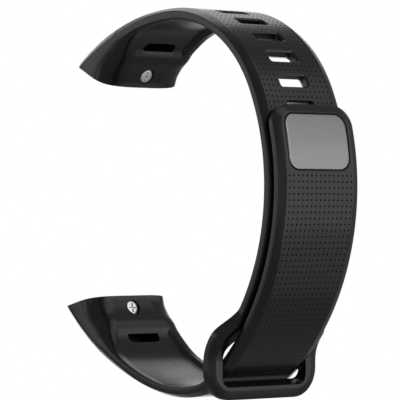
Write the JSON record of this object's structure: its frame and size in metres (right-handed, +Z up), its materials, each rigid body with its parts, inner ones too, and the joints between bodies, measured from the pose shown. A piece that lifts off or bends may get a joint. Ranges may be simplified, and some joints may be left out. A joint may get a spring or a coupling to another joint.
{
  "type": "fitness tracker band",
  "caption": "Rubber wrist band for a clip-in fitness tracker: slotted strap with a loop, and a tail strap with a pegged clasp plate.",
  "frame": {"origin": "centre of the closed band's bounding box", "axes": "+Y along the wrist, +Z up from the loop towards the upper strap, the tracker's seat open towards -X"},
  "size_m": [0.0608, 0.0252, 0.07],
  "materials": {
    "strap_rubber": "matte moulded rubber",
    "insert_nylon": "matte",
    "clasp_steel": "dark brushed",
    "screw_steel": "bright",
    "insert_brass": "plain"
  },
  "bodies": {
    "strap_loop": {"upper_strap": "strap_rubber", "lower_strap_run": "strap_rubber"},
    "upper_end": {"upper_strap_end": "strap_rubber", "upper_end_insert": "insert_nylon", "upper_thread_insert": "insert_brass", "upper_end_screw": "screw_steel"},
    "lower_end": {"lower_strap_end": "strap_rubber", "lower_end_insert": "insert_nylon", "lower_thread_insert": "insert_brass", "lower_end_screw": "screw_steel"},
    "tail_low": {"tail_strap_low": "strap_rubber"},
    "tail_mid": {"tail_strap_mid": "strap_rubber"},
    "tail_tip": {"tail_strap_tip": "strap_rubber", "clasp_plate": "clasp_steel", "clasp_back_plate": "clasp_steel", "clasp_peg_upper": "clasp_steel", "clasp_peg_lower": "clasp_steel"}
  },
  "joints": [
    {"name": "upper_end_flex", "type": "hinge", "parent": "strap_loop", "child": "upper_end", "pos_m": [-0.00298, 0, 0.03353], "axis": [0, 1, 0], "range_deg": [-10, 25], "stiffness_Nm_per_rad": 0.03},
    {"name": "lower_end_flex", "type": "hinge", "parent": "strap_loop", "child": "lower_end", "pos_m": [-0.00972, 0, -0.03144], "axis": [0, -1, 0], "range_deg": [-10, 25], "stiffness_Nm_per_rad": 0.03},
    {"name": "tail_peel", "type": "hinge", "parent": "strap_loop", "child": "tail_low", "pos_m": [0.01861, 0, -0.02543], "axis": [0, 1, 0], "range_deg": [0, 10], "stiffness_Nm_per_rad": 0.03, "springref_deg": -5.73},
    {"name": "tail_bend_mid", "type": "hinge", "parent": "tail_low", "child": "tail_mid", "pos_m": [0.02579, 0, -0.01438], "axis": [0, 1, 0], "range_deg": [0, 22]},
    {"name": "tail_bend_tip", "type": "hinge", "parent": "tail_mid", "child": "tail_tip", "pos_m": [0.0292, 0, -0.00165], "axis": [0, 1, 0], "range_deg": [0, 42]}
  ],
  "couplings": [
    {"joint": "tail_bend_mid", "follows": "tail_peel", "ratio": 2.2},
    {"joint": "tail_bend_tip", "follows": "tail_peel", "ratio": 4.2}
  ]
}
